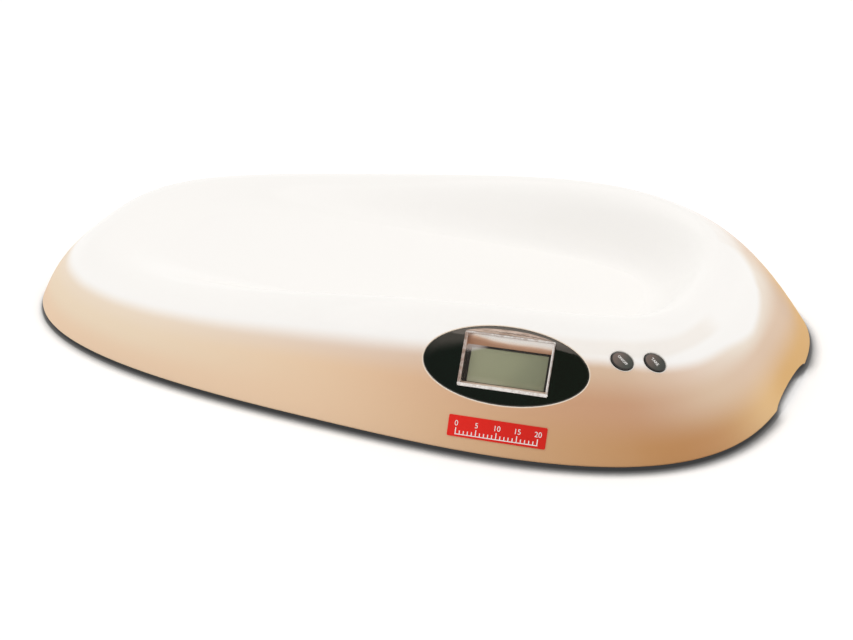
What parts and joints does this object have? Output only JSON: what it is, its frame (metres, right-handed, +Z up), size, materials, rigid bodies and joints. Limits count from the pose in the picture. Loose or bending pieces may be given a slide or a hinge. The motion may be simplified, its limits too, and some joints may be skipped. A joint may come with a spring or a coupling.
{
  "type": "baby weighing scale",
  "caption": "Low oval baby weighing scale with a one-piece cradle tray, an oval display window and two press buttons on its sloping side, on load-cell feet.",
  "frame": {"origin": "centre of the outline on the surface that the rubber feet stand on", "axes": "+X along the length to the high head end, -Y the side with the display and buttons, +Z up"},
  "size_m": [0.5965, 0.3624, 0.0875],
  "materials": {
    "cradle_shell": "gloss",
    "cover_plastic": "satin",
    "label_film": "gloss film",
    "bezel_plastic": "gloss",
    "clear_plastic": "polished",
    "light_frame": "satin",
    "mask_film": "matte",
    "lcd_glass": "gloss",
    "rubber": "matte",
    "circuit_board": "solder mask",
    "chip_plastic": "matte",
    "capacitor_sleeve": "gloss",
    "header_plastic": "matte",
    "gauge_resin": "gloss",
    "spring_metal": "nickel plated",
    "lead_sleeve": "matte",
    "button_plastic": "satin",
    "switch_plastic": "matte",
    "screw_steel": "zinc plated",
    "battery_can": "gloss sleeve",
    "cell_steel": "nickel plated",
    "clamp_plastic": "matte",
    "foot_plastic": "matte"
  },
  "bodies": {
    "scale_body": {"battery_1": "battery_can", "battery_2": "battery_can", "battery_3": "battery_can", "battery_4": "battery_can", "battery_contacts": "spring_metal", "battery_lead": "lead_sleeve", "battery_springs": "spring_metal", "blank_label": "label_film", "bottom_cover": "cover_plastic", "button_board": "circuit_board", "button_board_screws": "screw_steel", "button_lead": "lead_sleeve", "buzzer": "chip_plastic", "capacitor": "capacitor_sleeve", "cell_clamp_back_left": "clamp_plastic", "cell_clamp_back_right": "clamp_plastic", "cell_clamp_front_left": "clamp_plastic", "cell_clamp_front_right": "clamp_plastic", "cell_clamp_screws": "screw_steel", "cell_lead_back_left": "lead_sleeve", "cell_lead_back_right": "lead_sleeve", "cell_lead_front_left": "lead_sleeve", "cell_lead_front_right": "lead_sleeve", "contact_strips": "rubber", "cover_screws": "screw_steel", "cradle_shell": "cradle_shell", "display_bezel": "bezel_plastic", "display_board": "circuit_board", "display_lead": "lead_sleeve", "display_lens": "clear_plastic", "display_screws": "screw_steel", "foot_back_left": "foot_plastic", "foot_back_right": "foot_plastic", "foot_front_left": "foot_plastic", "foot_front_right": "foot_plastic", "foot_pad_back_left": "rubber", "foot_pad_back_right": "rubber", "foot_pad_front_left": "rubber", "foot_pad_front_right": "rubber", "lcd_frame": "light_frame", "lcd_glass": "lcd_glass", "lcd_mask": "mask_film", "load_cell_back_left": "cell_steel", "load_cell_back_right": "cell_steel", "load_cell_front_left": "cell_steel", "load_cell_front_right": "cell_steel", "main_board": "circuit_board", "main_board_screws": "screw_steel", "microcontroller": "chip_plastic", "power_headers": "header_plastic", "power_switch": "switch_plastic", "sensor_headers": "header_plastic", "strain_gauges": "gauge_resin", "tare_switch": "switch_plastic", "weighing_converter": "chip_plastic"},
    "power_button": {"power_button": "button_plastic", "power_plunger": "switch_plastic"},
    "tare_button": {"tare_button": "button_plastic", "tare_plunger": "switch_plastic"},
    "battery_door": {"battery_door": "cover_plastic"}
  },
  "joints": [
    {"name": "power_press", "type": "slide", "parent": "scale_body", "child": "power_button", "axis": [-0.4421, 0.5767, -0.687], "range_m": [0, 0.0008], "stiffness_N_per_m": 900, "springref_m": -0.0006},
    {"name": "tare_press", "type": "slide", "parent": "scale_body", "child": "tare_button", "axis": [-0.4421, 0.5767, -0.687], "range_m": [0, 0.0008], "stiffness_N_per_m": 900, "springref_m": -0.0006},
    {"name": "battery_door_hinge", "type": "hinge", "parent": "scale_body", "child": "battery_door", "pos_m": [-0.02, -0.02805, 0.004], "axis": [-1, 0, 0], "range_deg": [0, 75]}
  ]
}
